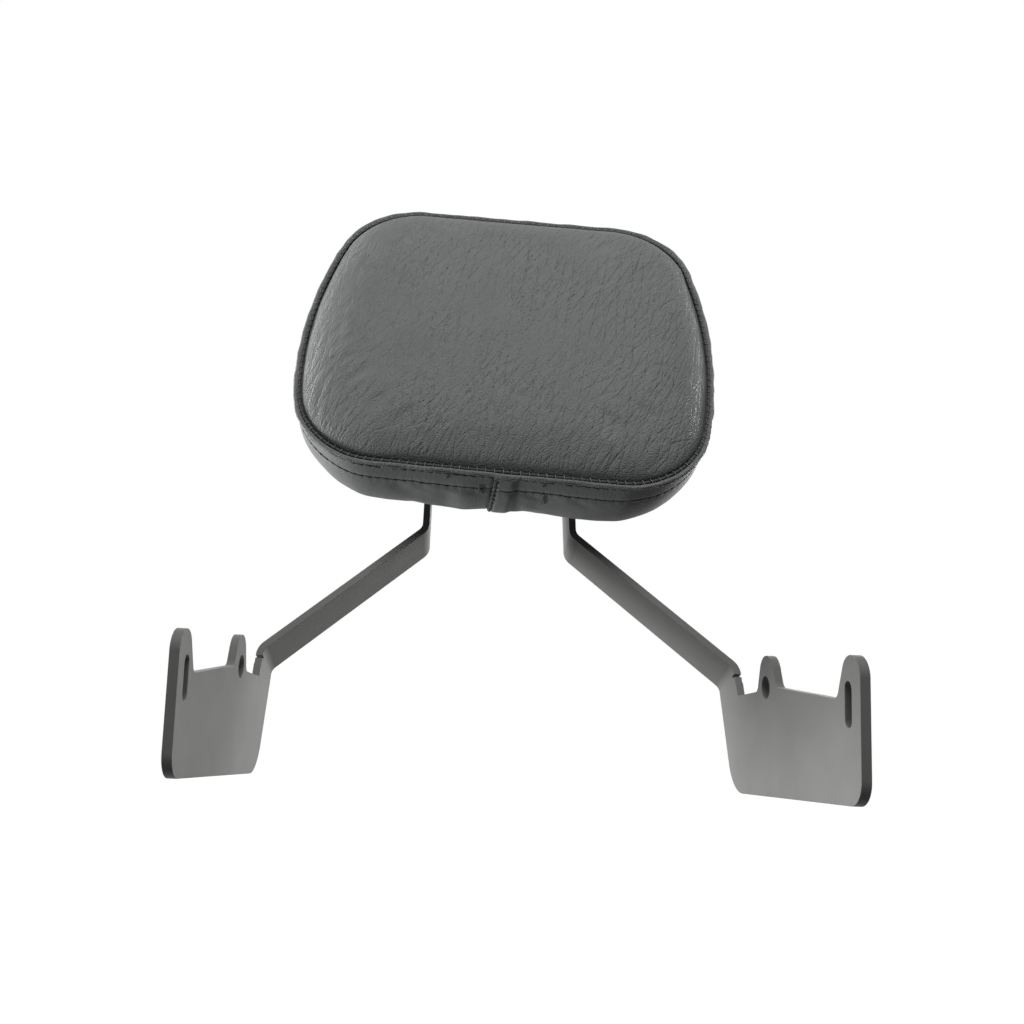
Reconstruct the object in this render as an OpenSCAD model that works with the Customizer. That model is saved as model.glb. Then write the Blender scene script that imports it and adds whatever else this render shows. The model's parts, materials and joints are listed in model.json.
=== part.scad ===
// Sissy bar: two bent steel side brackets that carry an upholstered back pad.
// Millimetres. X runs from the left plate to the right plate, Y runs rearwards
// and Z runs up. The origin lies on the axis of the round holes, midway
// between the two side plates.

/* [Fender] */
// Clear width between the two side plates
fender_w = 252; // [200:1:320]

/* [Side plates] */
// Thickness of the sheet steel that the brackets are cut from
steel_t = 4; // [3:0.5:6]
// Height of the hole axis above the bottom edge
plate_drop = 50; // [42:1:80]
// Round mounting hole diameter
hole_d = 11; // [8:0.5:14]
// Distance from the round hole forward to the slot
slot_ahead = 90.4; // [75:0.1:130]
// Distance from the hole axis down to the middle of the slot
slot_drop = 13; // [10:0.5:18]
// Slot width
slot_w = 6; // [5:0.5:9]
// Slot length from end to end
slot_len = 17.5; // [12:0.5:22]
// Distance from the slot's centre line to the front edge
slot_edge = 10.5; // [8:0.5:16]
// Forward lean of the front edge and of the slot in degrees
front_lean = 9; // [0:1:14]
// Corner radius at the front of the bottom edge
front_corner_r = 11; // [4:1:16]
// Corner radius at the rear of the bottom edge
rear_corner_r = 21; // [6:1:28]
// Tip radius of the ear that holds the slot
slot_ear_r = 8; // [6.5:0.5:9]
// Tip radius of the ear that holds the round hole
hole_ear_r = 9.5; // [8:0.5:11]
// Height of the round-hole ear above the hole axis
hole_ear_up = 15; // [12:0.5:20]
// Fillet radius at the foot of the ears
ear_fillet_r = 4.5; // [2:0.5:6]

/* [Arms] */
// Width of the bent strip
strip_w = 28.5; // [22:0.5:36]
// Distance from the round hole back to the front edge of the strip
arm_back = 48.3; // [40:0.1:70]
// Height of the lower bend above the round hole
arm_up = 11.2; // [6:0.1:20]
// Backward lean of the strip and the pad in degrees
arm_lean = 17; // [5:1:25]
// Angle of each bend in degrees
bend_angle = 47; // [35:1:60]
// Inside radius of the bends
bend_r = 6; // [4:0.5:9]
// Clear width between the two uprights
upright_gap = 82; // [60:1:110]
// Height of the relief cut at the lower bend
relief_h = 1.5; // [1:0.5:2.5]
// Depth of the relief cut at the lower bend
relief_deep = 3; // [2:0.5:5]
// How far the plate edge stands proud of the strip below the relief cut
relief_step = 1; // [0.5:0.25:2]

/* [Pad plate] */
// Height of the steel plate behind the pad
pad_plate_h = 120; // [90:1:130]
// Corner radius of the steel plate
pad_plate_r = 12; // [4:1:20]
// Clear hole for a pad bolt
bolt_hole_d = 6.6; // [6.4:0.1:8]
// Distance from a bolt to the nearest plate edges
bolt_edge = 14; // [10:1:16]
// Clearance between a washer and the upright beside it
bolt_clear = 4.8; // [4:0.2:10]
// Leg of the weld beads
weld_leg = 3; // [2:0.5:4]
// Length of one weld bead
weld_len = 35; // [20:1:38]

/* [Pad] */
// Overall width of the pad
pad_w = 246; // [210:1:300]
// Overall height of the pad
pad_h = 208; // [184:1:260]
// Distance from the upper bend up to the bottom of the pad
pad_rise = 6; // [2:1:20]
// Depth of the side band from the back to the front seam
band_depth = 40; // [30:1:55]
// How far the front panel is crowned forward of its seam
crown_h = 17; // [10:1:24]
// Corner radius of the pad outline
pad_corner_r = 50; // [30:1:56]
// How much farther out the sides reach than the upper corners
shoulder = 9; // [2:0.5:10]
// How far the side band draws in at the corners towards the back
corner_tuck = 7; // [0:0.5:8]
// How far the side band bellies out under the pad
band_belly = 4; // [0:0.5:5]
// Thickness of the cover material
cover_t = 1.2; // [0.8:0.1:2]
// How far the seam lip stands out from the front panel
lip_w = 2.6; // [2:0.1:4]
// How far the cover is turned under the back
turn_under = 20; // [12:1:22]
// Thickness of the moulded base
base_t = 10; // [8:1:14]

/* [Fasteners] */
// Thread diameter of the pad bolts
bolt_d = 6; // [5:0.5:6]
// Width of a bolt head across its flats
head_af = 10; // [8:0.5:11]
// Height of a bolt head
head_h = 4; // [3:0.5:5]
// Outside diameter of the flat washers
washer_d = 12.4; // [11:0.2:16]
// Thickness of the flat and the spring washers
washer_t = 1.6; // [1:0.1:2]

/* [Hidden] */
// Smallest running clearance between a bolt and what it passes through
fit_gap = 0.1;
// Clearance between soft pieces
soft_gap = 0.3;
// Overcut, so that a cut runs past a face
over = 1;
// Largest turn between the points of a rounded corner in degrees
arc_step = 6;

// Side plates, drawn as Y and Z with the round hole at the origin
half_fender = fender_w / 2;
slot_y = -slot_ahead;
slot_z = -slot_drop;
top_edge_slope = 8;
ear_back_slope = 58;
ear_side_lean = 17;
ear_rear_lean = 27;
// Height of the valley behind the round-hole ear
valley_z = -1;
// The front edge is a line beside the slot, leaning forward
function front_y(z) = slot_y - slot_edge / cos(front_lean)
    - (z - slot_z) * tan(front_lean);
ear_above_slot = 1.5;
slot_ear_z = slot_z + slot_len / 2 + ear_above_slot;
slot_ear_y = front_y(slot_ear_z) + slot_ear_r / cos(front_lean);
hole_ear_z = hole_ear_up - hole_ear_r;
hole_ear_y = -2;

// Strip
lean_across = cos(arm_lean);
lean_drop = sin(arm_lean);
strip_rear_y = arm_back + strip_w * lean_across;
strip_rear_z = arm_up - strip_w * lean_drop;
bend_sum = 2 * bend_r + steel_t;
arm_in = half_fender - upright_gap / 2;
arm_len = (arm_in - bend_sum * (1 - cos(bend_angle))) / sin(bend_angle);
upright_z0 = bend_sum * sin(bend_angle) + arm_len * cos(bend_angle);
upright_x = upright_gap / 2;
// How far the strip is joined down into the plate below the bend
strip_joint = 0.4;
// Relief cut: its top edge below the bend, and the straight edge under it
notch_top = -0.5;
relief_tooth = 3.5;

// Pad and its plate, measured in the leaned frame of the strip
pad_mid_z = upright_z0 + pad_rise + pad_h / 2;
half_w = pad_w / 2;
half_h = pad_h / 2;
// How far below the top of the steel plate the uprights end
upright_short = 5;
upright_top = pad_mid_z + pad_plate_h / 2 - upright_short;
upright_corner_r = 8;
bolt_x = upright_x + steel_t + bolt_clear + washer_d / 2;
bolt_z = pad_plate_h / 2 - bolt_edge;
pad_plate_w = 2 * (bolt_x + bolt_edge);
weld_inset = 6;

// Fasteners
bolt_end_gap = 1.2;
bolt_len = steel_t + 2 * washer_t + base_t - bolt_end_gap;
nut_bore_d = bolt_d + 2 * fit_gap;
nut_wall = 1.2;
nut_barrel_d = nut_bore_d + 2 * nut_wall;
nut_flange_d = 3 * bolt_d;
nut_flange_t = 1.5;
nut_start = 0.5;
split_w = 1;

// Pad outline
side_turn = 10;
corner_steps = 10;
flat_steps = 4;
side_steps = 8;
upper_corner = [half_w - shoulder - pad_corner_r, half_h - pad_corner_r];
lower_corner = [half_w - shoulder / 3 - pad_corner_r, pad_corner_r - half_h];
// A point is in a corner where the product of its two shares passes the first
// value, and wholly so where it passes both together
corner_from = 0.45;
corner_over = 0.3;

// Pad sections, each point an inset from the outline and a depth from the back
band_edge = lip_w - 1;
band_path = [
    [band_edge, band_depth],
    [0.4, band_depth * 0.82],
    [0.2, band_depth * 0.55],
    [1.6, base_t],
    [5, base_t * 0.35],
    [8.5, -cover_t * 0.7],
    [10.5, -cover_t]
];
band_inside = [
    [band_edge + cover_t, band_depth],
    [0.4 + cover_t, band_depth * 0.82],
    [0.2 + cover_t, band_depth * 0.55],
    [1.6 + cover_t, base_t],
    [5 + cover_t, base_t * 0.35],
    [10.2, 0]
];
lip_t = 2;
edge_run = 24;
edge_share = 0.66;
// Half-height of the nearly flat middle of the front panel
crown_flat = 20;
crown_run = half_h - crown_flat;
crown_insets = [
    0, 0.5, 1.5, 3, 5.5, 9, 14, edge_run,
    0.45 * crown_run, 0.7 * crown_run, 0.9 * crown_run
];

FIXINGS = [[1, 1], [-1, 1], [-1, -1], [1, -1]];
FIXING_NAMES = ["upper_right", "upper_left", "lower_left", "lower_right"];

steel_black = [0.16, 0.16, 0.16];
cover_grey = [0.3, 0.3, 0.29];
zinc = [0.75, 0.76, 0.78];

// Where two lines meet, each given by a point and a heading in degrees
function meet(p, p_angle, q, q_angle) =
    let(
        u = [cos(p_angle), sin(p_angle)],
        v = [cos(q_angle), sin(q_angle)],
        d = q - p,
        k = (d[0] * v[1] - d[1] * v[0]) / (u[0] * v[1] - u[1] * v[0])
    )
    p + k * u;

// Outline through corners, each given as a point and the radius that rounds it
function rounded(corners) = [
    for (i = [0:len(corners) - 1])
        each round_corner(
            corners[(i + len(corners) - 1) % len(corners)][0],
            corners[i][0],
            corners[(i + 1) % len(corners)][0],
            corners[i][1]
        )
];

// Points of the arc of radius r that rounds corner b between a and c
function round_corner(a, b, c, r) = r == 0 ? [b] :
    let(
        to_a = (a - b) / norm(a - b),
        to_c = (c - b) / norm(c - b),
        middle = (to_a + to_c) / norm(to_a + to_c),
        half = acos(to_a * to_c) / 2,
        centre = b + middle * r / sin(half),
        from = b + to_a * r / tan(half) - centre,
        turn = 180 - 2 * half,
        way = to_a[0] * to_c[1] - to_a[1] * to_c[0] > 0 ? -1 : 1,
        steps = ceil(turn / arc_step)
    )
    [for (i = [0:steps])
        let(t = way * turn * i / steps)
        centre + [
            from[0] * cos(t) - from[1] * sin(t),
            from[0] * sin(t) + from[1] * cos(t)
        ]];

// Point of a side plate that lies y across the strip and z along it
function on_strip(y, z) = [arm_back, arm_up]
    + y * [lean_across, -lean_drop]
    + z * [lean_drop, lean_across];

// The same point's places across and along the strip
function to_strip(p) =
    let(d = p - [arm_back, arm_up])
    [d[0] * lean_across - d[1] * lean_drop, d[0] * lean_drop + d[1] * lean_across];

// Outline of a side plate up to the lower bend, drawn across and along the
// strip so that the two share their edges exactly
module plate_outline() {
    along = 90 - arm_lean;
    notch_low = notch_top - relief_h;
    stub_z = notch_low - relief_tooth;
    bottom = [0, -plate_drop];
    valley = [0, valley_z];
    bottom_front = [front_y(-plate_drop), -plate_drop];
    strip_front = on_strip(0, 0);
    strip_rear = on_strip(strip_w, 0);
    stub_proud = on_strip(-relief_step, stub_z);
    // Each ear narrows to where its two sides meet, and its tip is an arc there
    slot_tip = [slot_ear_y, slot_ear_z];
    hole_tip = [hole_ear_y, hole_ear_z];
    slot_back = slot_tip + slot_ear_r * [sin(ear_back_slope), cos(ear_back_slope)];
    hole_front = hole_tip + hole_ear_r * [-cos(ear_side_lean), sin(ear_side_lean)];
    hole_back = hole_tip + hole_ear_r * [cos(ear_rear_lean), sin(ear_rear_lean)];
    edge_start = [hole_ear_y - hole_ear_r, valley_z + 0.5];
    slot_apex = meet(bottom_front, 90 + front_lean, slot_back, -ear_back_slope);
    hole_apex = meet(hole_front, 90 - ear_side_lean, hole_back, 90 + ear_rear_lean);
    corners = [
        [bottom_front, front_corner_r],
        [meet(strip_rear, along, bottom, 0), rear_corner_r],
        [strip_rear, 0],
        [strip_front, 0],
        [on_strip(0, notch_top), 0],
        [on_strip(relief_deep, notch_top), 0],
        [on_strip(relief_deep, notch_low), 0],
        [on_strip(0, notch_low), 0],
        [on_strip(0, stub_z), 0],
        [stub_proud, 0],
        [meet(stub_proud, along, valley, 0), ear_fillet_r / 3],
        [meet(hole_back, 90 + ear_rear_lean, valley, 0), ear_fillet_r],
        [hole_apex, hole_ear_r],
        [meet(hole_front, 90 - ear_side_lean, edge_start, top_edge_slope), ear_fillet_r],
        [meet(slot_back, -ear_back_slope, edge_start, top_edge_slope), ear_fillet_r],
        [slot_apex, slot_ear_r]
    ];
    difference() {
        polygon([for (p = rounded(corners)) to_strip(p)]);
        rotate(arm_lean)
            translate([-arm_back, -arm_up]) {
                circle(d = hole_d, $fn = 96);
                slot_outline();
            }
    }
}

// Upright slot in the front ear, parallel to the front edge
module slot_outline() {
    half = (slot_len - slot_w) / 2;
    translate([slot_y, slot_z])
        rotate(front_lean) {
            square([slot_w, 2 * half], center = true);
            for (end = [-half, half])
                translate([0, end])
                    circle(d = slot_w, $fn = 48);
        }
}

// Places children in the leaned frame: Y across the strip, Z along it
module strip_frame() {
    translate([0, arm_back, arm_up])
        rotate([-arm_lean, 0, 0])
            children();
}

// Side view of the bent strip, X and Z, from just below the lower bend
module strip_side() {
    outer_r = bend_r + steel_t;
    inner_reach = bend_r * tan(bend_angle / 2);
    outer_reach = outer_r * tan(bend_angle / 2);
    polygon(rounded([
        [[half_fender, -strip_joint], 0],
        [[half_fender + steel_t, -strip_joint], 0],
        [[half_fender + steel_t, outer_reach], outer_r],
        [[upright_x + steel_t, upright_z0 - inner_reach], bend_r],
        [[upright_x + steel_t, upright_top], 0],
        [[upright_x, upright_top], 0],
        [[upright_x, upright_z0 - outer_reach], outer_r],
        [[half_fender, inner_reach], bend_r]
    ]));
}

// Rounds the rear corner at the top of the upright
module upright_corner() {
    translate([
        upright_x - over,
        strip_w - upright_corner_r,
        upright_top - upright_corner_r
    ])
        rotate([90, 0, 90])
            linear_extrude(steel_t + 2 * over)
                difference() {
                    square(upright_corner_r + over);
                    circle(r = upright_corner_r, $fn = 64);
                }
}

module bracket() {
    color(steel_black)
        strip_frame()
            difference() {
                union() {
                    translate([half_fender, 0, 0])
                        rotate([90, 0, 90])
                            linear_extrude(steel_t)
                                plate_outline();
                    translate([0, strip_w, 0])
                        rotate([90, 0, 0])
                            linear_extrude(strip_w)
                                strip_side();
                }
                upright_corner();
            }
}

// Mirrors children to the left side of the bar
module left_side() {
    mirror([1, 0, 0])
        children();
}

// Places children on the pad: X across, Y rearwards from the pad's back
module pad_frame() {
    strip_frame()
        translate([0, -steel_t, pad_mid_z])
            children();
}

// Places children at one pad bolt, with Z running forward along the bolt
module at_fixing(place) {
    pad_frame()
        translate([place[0] * bolt_x, 0, place[1] * bolt_z])
            rotate([90, 0, 0])
                children();
}

// Steel plate across the front edges of the uprights
module pad_plate() {
    w = pad_plate_w / 2;
    h = pad_plate_h / 2;
    corners = [[w, h], [-w, h], [-w, -h], [w, -h]];
    color(steel_black)
        pad_frame()
            translate([0, steel_t, 0])
                rotate([90, 0, 0])
                    linear_extrude(steel_t)
                        difference() {
                            polygon(rounded([for (c = corners) [c, pad_plate_r]]));
                            for (place = FIXINGS)
                                translate([place[0] * bolt_x, place[1] * bolt_z])
                                    circle(d = bolt_hole_d, $fn = 48);
                        }
}

// Four quarter-round beads in the corners between one upright and the plate
module weld_beads() {
    bead_z = pad_plate_h / 2 - weld_inset - weld_len / 2;
    color(steel_black)
        strip_frame()
            for (up = [-1, 1], side = [0, 1])
                translate([
                    upright_x + side * steel_t,
                    0,
                    pad_mid_z + up * bead_z - weld_len / 2
                ])
                    rotate([0, 0, side == 0 ? 90 : 0])
                        linear_extrude(weld_len)
                            intersection() {
                                circle(r = weld_leg, $fn = 48);
                                square(weld_leg);
                            }
}

// Half of the pad outline from the middle of the top to the middle of the bottom
function half_outline() = concat(
    [for (i = [0:flat_steps - 1]) [upper_corner[0] * i / flat_steps, half_h]],
    [for (i = [0:corner_steps])
        let(a = 90 - (90 - side_turn) * i / corner_steps)
        upper_corner + pad_corner_r * [cos(a), sin(a)]],
    [for (i = [1:side_steps - 1]) side_point(i / side_steps)],
    [for (i = [0:corner_steps])
        let(a = -side_turn - (90 - side_turn) * i / corner_steps)
        lower_corner + pad_corner_r * [cos(a), sin(a)]],
    [for (i = [flat_steps - 1:-1:0]) [lower_corner[0] * i / flat_steps, -half_h]]
);

// Point at share u down the bowed side
function side_point(u) =
    let(
        top = upper_corner + pad_corner_r * [cos(side_turn), sin(side_turn)],
        low = lower_corner + pad_corner_r * [cos(side_turn), -sin(side_turn)],
        bow = half_w - (top[0] + low[0]) / 2
    )
    top + (low - top) * u + [4 * bow * u * (1 - u), 0];

right_half = half_outline();
last = len(right_half) - 1;
pad_outline = concat(
    right_half,
    [for (i = [last - 1:-1:1]) [-right_half[i][0], right_half[i][1]]]
);

// How far into a corner a point of the outline lies, from 0 to 1
function corner_share(p) =
    let(
        product = abs(p[0]) / half_w * abs(p[1]) / half_h,
        share = (product - corner_from) / corner_over
    )
    pow(min(1, max(0, share)), 2);

// The outline drawn in by an inset, at a depth forward of the pad's back
function pad_ring(at) =
    let(
        share = min(1, max(0, at[1] / band_depth)),
        tuck = corner_tuck * (1 - share),
        belly = band_belly * sin(180 * share)
    )
    [
        for (p = pad_outline)
            let(
                k = 1 - tuck * corner_share(p) / norm(p),
                below = max(0, -p[1] / half_h)
            )
            [
                p[0] * k * (half_w - at[0]) / half_w,
                -at[1],
                p[1] * k * (half_h - at[0]) / half_h - belly * pow(below, 3)
            ]
    ];

// Solid through a run of rings: capped at both ends, or joined into a loop
module loft(path, looped = false) {
    rings = [for (at = path) pad_ring(at)];
    n = len(pad_outline);
    count = len(rings);
    spans = looped ? count : count - 1;
    walls = [
        for (r = [0:spans - 1], i = [0:n - 1])
            let(
                a = r * n,
                b = ((r + 1) % count) * n,
                j = (i + 1) % n
            )
            each [[a + i, b + i, a + j], [a + j, b + i, b + j]]
    ];
    tips = looped ? [] : [for (end = [0, count - 1]) [0, -path[end][1], 0]];
    caps = looped ? [] : [
        for (i = [0:n - 1])
            let(
                j = (i + 1) % n,
                z = (count - 1) * n,
                tip = count * n
            )
            each [[i, j, tip], [z + j, z + i, tip + 1]]
    ];
    points = concat([for (ring = rings) each ring], tips);
    polyhedron(points, concat(walls, caps));
}

// Depth of the crowned front at a distance in from its seam
function crown_depth(run) =
    let(
        e = max(0, 1 - run / edge_run),
        c = 1 - run / crown_run
    )
    band_depth
    + crown_h * edge_share * sqrt(1 - e * e)
    + crown_h * (1 - edge_share) * (1 - c * c);

// Section of the crowned front, moved in and back by a thickness
function crown_path(shift) = [
    for (run = crown_insets)
        [lip_w + shift + run, crown_depth(run) - (run == 0 ? 0 : shift)]
];

// Reverses a list of points
function reversed(points) = [for (i = [len(points) - 1:-1:0]) points[i]];

// Moulded base that closes the back of the pad, bored for the tee nuts
module pad_base() {
    rings = [
        for (i = [5, 4, 3])
            [band_inside[i][0] + soft_gap, band_inside[i][1]]
    ];
    color("dimgray")
        difference() {
            pad_frame()
                loft(rings);
            for (place = FIXINGS)
                at_fixing(place) {
                    translate([0, 0, -over])
                        cylinder(
                            d = nut_barrel_d + 2 * fit_gap,
                            h = base_t + 2 * over,
                            $fn = 48
                        );
                    translate([0, 0, base_t - nut_flange_t])
                        cylinder(
                            d = nut_flange_d + 2 * fit_gap,
                            h = nut_flange_t + over,
                            $fn = 48
                        );
                }
        }
}

// Foam block between the base and the crowned cover
module foam_core() {
    shift = cover_t + soft_gap;
    under_seam = band_depth - soft_gap;
    side = [
        for (i = [3, 2, 1])
            [band_inside[i][0] + soft_gap, band_inside[i][1]]
    ];
    shelf = [
        [band_inside[0][0] + soft_gap, under_seam],
        [lip_w + shift, under_seam]
    ];
    color("khaki")
        pad_frame()
            loft(concat(side, shelf, crown_path(shift)));
}

// Crowned front panel of the cover
module front_panel() {
    color(cover_grey)
        pad_frame()
            loft(concat(reversed(crown_path(cover_t)), crown_path(0)));
}

// Side band of the cover, turned under the base
module side_band() {
    hem = band_path[6][0] + turn_under;
    color(cover_grey)
        pad_frame()
            loft(
                concat(
                    reversed(band_path),
                    band_inside,
                    [[hem, 0], [hem, -cover_t]]
                ),
                looped = true
            );
}

// Sewn lip that stands out where the band meets the front panel
module seam_lip() {
    edge = lip_t / 4;
    color(cover_grey)
        pad_frame()
            loft(
                [
                    [edge, band_depth],
                    [0, band_depth + edge],
                    [0, band_depth + lip_t - edge],
                    [edge, band_depth + lip_t],
                    [lip_w, band_depth + lip_t],
                    [lip_w, band_depth]
                ],
                looped = true
            );
}

// Flanged threaded insert sunk in the front of the base
module tee_nut(place) {
    color(zinc)
        at_fixing(place)
            difference() {
                union() {
                    translate([0, 0, nut_start])
                        cylinder(
                            d = nut_barrel_d,
                            h = base_t - nut_start,
                            $fn = 48
                        );
                    translate([0, 0, base_t - nut_flange_t])
                        cylinder(d = nut_flange_d, h = nut_flange_t, $fn = 48);
                }
                cylinder(d = nut_bore_d, h = base_t + over, $fn = 48);
            }
}

// Flat washer against the rear of the steel plate
module washer(place) {
    color(zinc)
        at_fixing(place)
            translate([0, 0, -steel_t - washer_t])
                linear_extrude(washer_t)
                    difference() {
                        circle(d = washer_d, $fn = 48);
                        circle(d = bolt_d + 4 * fit_gap, $fn = 48);
                    }
}

// Split spring washer under the bolt head
module spring_washer(place) {
    color(zinc)
        at_fixing(place)
            translate([0, 0, -steel_t - 2 * washer_t])
                linear_extrude(washer_t)
                    difference() {
                        circle(d = head_af + 1, $fn = 48);
                        circle(d = bolt_d + 2 * fit_gap, $fn = 48);
                        rotate(30)
                            translate([0, -split_w / 2])
                                square([washer_d, split_w]);
                    }
}

// Hexagon bolt from behind, through the steel plate into the tee nut
module bolt(place) {
    color(zinc)
        at_fixing(place)
            translate([0, 0, -steel_t - 2 * washer_t]) {
                cylinder(d = bolt_d, h = bolt_len, $fn = 48);
                translate([0, 0, -head_h])
                    intersection() {
                        cylinder(d = head_af / cos(30), h = head_h, $fn = 6);
                        rotate_extrude($fn = 48)
                            polygon([
                                [0, 0],
                                [head_af * 0.46, 0],
                                [head_af * 0.58, head_af * 0.07],
                                [head_af * 0.58, head_h],
                                [0, head_h]
                            ]);
                    }
            }
}

left_side() bracket();  // left_bracket
bracket();  // right_bracket
pad_plate();
left_side() weld_beads();  // left_weld_beads
weld_beads();  // right_weld_beads
pad_base();
foam_core();
front_panel();
side_band();
seam_lip();
for (i = [0:3]) {
    bolt(FIXINGS[i]);
    washer(FIXINGS[i]);
    spring_washer(FIXINGS[i]);
    tee_nut(FIXINGS[i]);
}
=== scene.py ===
import json
import math
import random

import bmesh
import bpy
import numpy as np
from mathutils import Matrix, Vector, noise


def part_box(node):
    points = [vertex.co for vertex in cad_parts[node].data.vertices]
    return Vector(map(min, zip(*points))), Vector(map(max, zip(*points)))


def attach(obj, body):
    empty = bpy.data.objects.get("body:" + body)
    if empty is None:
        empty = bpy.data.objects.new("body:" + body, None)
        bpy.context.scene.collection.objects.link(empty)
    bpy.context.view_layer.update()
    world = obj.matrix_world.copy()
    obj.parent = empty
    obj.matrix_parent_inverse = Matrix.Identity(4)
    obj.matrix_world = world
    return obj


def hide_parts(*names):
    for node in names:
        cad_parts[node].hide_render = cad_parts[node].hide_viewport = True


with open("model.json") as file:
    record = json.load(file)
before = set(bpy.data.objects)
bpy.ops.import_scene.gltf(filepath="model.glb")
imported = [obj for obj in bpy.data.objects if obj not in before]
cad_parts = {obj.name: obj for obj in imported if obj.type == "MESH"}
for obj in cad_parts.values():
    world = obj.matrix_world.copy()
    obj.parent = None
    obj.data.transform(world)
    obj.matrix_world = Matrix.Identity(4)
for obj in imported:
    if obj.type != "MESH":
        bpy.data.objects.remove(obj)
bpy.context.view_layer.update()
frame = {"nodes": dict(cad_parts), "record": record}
nodes = frame["nodes"]

# A sissy bar: coated steel brackets and a sewn cushion, dressed over the packed
# part. Metres and radians, unless a comment says millimetres. The pad's own frame
# has X across, Y rearwards from the back of the pad and Z up along it, and it
# leans back with the uprights.
MM = 0.001
LEAN = math.radians(17)
STEEL = 4 * MM
# Width of the eased edges of the sheet steel, in millimetres
EASED = 0.5
# The cover sits a little turned on its plate, as in the photo
COVER_TURN = math.radians(4)
COVER_SHIFT = Vector((0.0015, 0, -0.0016))

# Pad outline and section, in millimetres
HALF_W = 123.0
HALF_H = 104.0
CORNER_R = 50.0
# How much narrower the pad is at its upper corners; the lower ones have a third
SHOULDER = 9.0
# How far the corners tuck in at the back, and how far the lower side bellies
CORNER_TUCK = 7.0
BELLY = 4.0
# Where a corner starts to tuck in, and over how much more it gets all of it, as
# the product of a point's shares of the two half sizes
CORNER_FROM = 0.45
CORNER_OVER = 0.3
# How far the flanks lean at the ends of the corner arcs
SIDE_TURN = math.radians(10)
BAND_DEPTH = 40.0
# The front rises by its crown: EDGE_SHARE of it within EDGE_RUN of the outline,
# and the rest within CROWN_RUN
CROWN = 17.0
EDGE_RUN = 24.0
EDGE_SHARE = 0.66
CROWN_RUN = HALF_H - 20
# Width of the sewn lip, and the sections of its two plies: a seed for their
# unevenness, and the inset and depth of each point
LIP = 2.6
LIP_ROOT = 2.9
LIP_PLIES = {
    "front": (
        1.0,
        ((1.9, 41.4), (1.0, 42.6), (0.1, 42.9), (-0.7, 42.3), (-0.4, 41.3), (LIP_ROOT, 40.9)),
    ),
    "rear": (
        6.0,
        ((LIP_ROOT, 40.8), (0.3, 40.6), (-0.4, 40.3), (-0.3, 39.8), (0.5, 39.3), (LIP_ROOT, 39.1)),
    ),
}
# Where the front panel rises beside the groove at its seam
GROOVE_IN = 3.5
# Half-height of the innermost ring of the front panel
MIDDLE = 6.0
BASE_T = 10.0
# The base's rim lies farther out than this, and its bores nearer in
RIM_FROM = 90.0
COVER_T = 1.2
# How far in from the outline the cover's turned-under hem ends
HEM = 30.0
# How far the sewn cover stands in at its left corners, or out below zero
UPPER_LEFT_IN = 0.8
LOWER_LEFT_IN = 0.5

# Rings of the cover's mesh, stitches round the pad and a ring's points for each
FRONT_RINGS = 88
BAND_RINGS = 46
STITCHES = 164
PER_STITCH = 4
AROUND = PER_STITCH * STITCHES

# Sewing, in millimetres: the rows on the band, and the band's joint, whose lap
# runs to the right of it and which leans left towards the back
TOPSTITCH_DEPTH = 30.5
LIPSTITCH_DEPTH = 38.2
JOINT_X = 1.5
JOINT_LEAN = -3.5
LAP = 12.0
JOINT_PITCH = 1.5
# Radii of the threads and of the pale ticks
# The groove's thread is thick and runs almost unbroken: black stitches that also fill the channel by
# the lip as painted shade of the groove
GROOVE_SHADE_THREAD = 0.9
TICK_RADIUS = 0.2
TOP_THREAD = 0.46
LIP_THREAD = 0.56
JOINT_THREAD = 0.6
LOOSE_THREAD = 0.36
# Loose ends low on the band: X and depth where each starts and where it ends
LOOSE_ENDS = (
    (28.8, 30.5, 27.8, 22.5),
    (29.2, 38.5, 26.4, 35.2),
    (-7.6, 33.5, -7.0, 27.0),
    (-9.2, 30.0, -5.8, 29.4),
    (-25.0, 38.4, -27.0, 35.4),
)

# Staples in the hem: how many, and in millimetres how far in they are, half
# their length and the radius of their wire
STAPLES = 46
STAPLE_IN = 22.0
STAPLE_HALF = 5.0
STAPLE_R = 0.45

# Fine creases of the leather on the front: angle in degrees, length and spacing
# in millimetres, width of the line as a share of the spacing, scale of the
# patches, and depth in metres
CREASES = (
    (64, 42, 5.2, 0.11, 26, 0.0003),
    (43, 34, 4.8, 0.11, 31, 0.00018),
    (85, 48, 6.0, 0.1, 22, 0.0003),
)
# Broad creases pressed into the front: angle in degrees, length, spacing and
# depth in millimetres, and the seed of their noise
BROAD_CREASES = (
    (62, 38, 9, 0.3, 11.0),
    (48, 26, 7, 0.24, 47.0),
    (84, 30, 6, 0.22, 83.0),
)

# The simulated settling of the cover over its foam, its moves capped in
# millimetres
SETTLE_FRAMES = 14
SETTLE_PRESSURE = 4.0
SETTLE_SLACK = 0.002
SETTLE_CAP = 0.7

# Photo camera
CAMERA_AT = Vector((-0.02541, -0.44058, -0.03869))
CAMERA_RIGHT = Vector((0.99921, -0.00634, 0.03924))
CAMERA_UP = Vector((-0.03948, -0.27334, 0.96111))
FOCAL_PX = 903.65
PICTURE_PX = 1024
AXIS_PX = (452.86, 501.77)
SENSOR_MM = 36

# Studio: the floor lies below the object, which the photo shows cut out
FLOOR_Z = -0.36
FLOOR_REACH = 12
FLOOR_GLOW = 0.9
SKY_LIGHT = 0.16

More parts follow.
